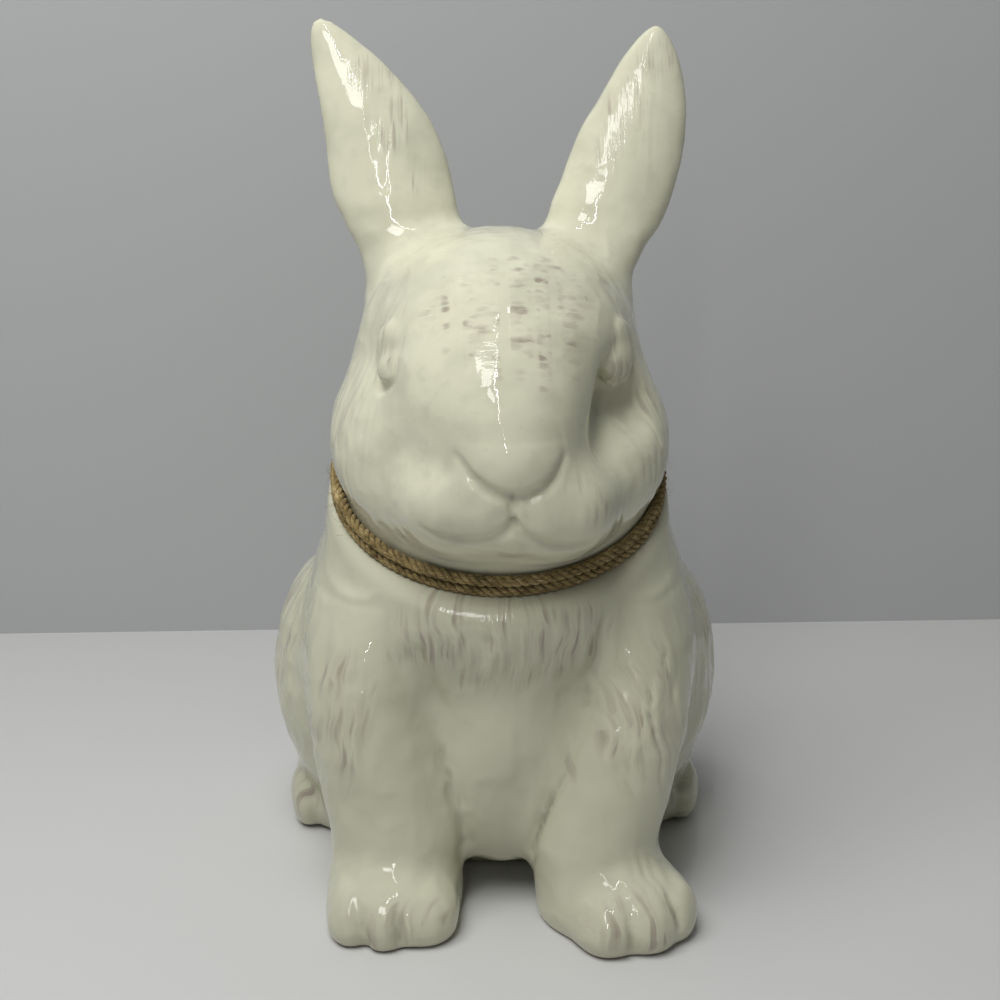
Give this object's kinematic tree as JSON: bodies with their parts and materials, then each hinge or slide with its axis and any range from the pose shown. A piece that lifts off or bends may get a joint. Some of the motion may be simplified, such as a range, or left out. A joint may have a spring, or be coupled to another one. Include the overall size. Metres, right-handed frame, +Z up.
{
  "type": "ceramic rabbit figurine",
  "caption": "Sitting rabbit figurine in cream glazed ceramic, with raised ears and a jute rope tied round its neck.",
  "frame": {"origin": "the middle of the bounding box of the ceramic, at the height of the feet that it stands on", "axes": "+Z up, the rabbit faces -Y, +X to the rabbit's own left"},
  "size_m": [0.196, 0.202, 0.35],
  "materials": {
    "glaze": "glossy cream glaze with grey-brown dry brushing",
    "jute": "twisted jute rope"
  },
  "bodies": {
    "root": {"torso": "glaze", "head": "glaze", "left_ear": "glaze", "right_ear": "glaze", "left_foreleg": "glaze", "right_foreleg": "glaze", "left_hind_foot": "glaze", "right_hind_foot": "glaze", "tail": "glaze", "neck_rope": "jute", "rope_knot": "jute", "left_rope_tail": "jute", "right_rope_tail": "jute"}
  },
  "joints": []
}
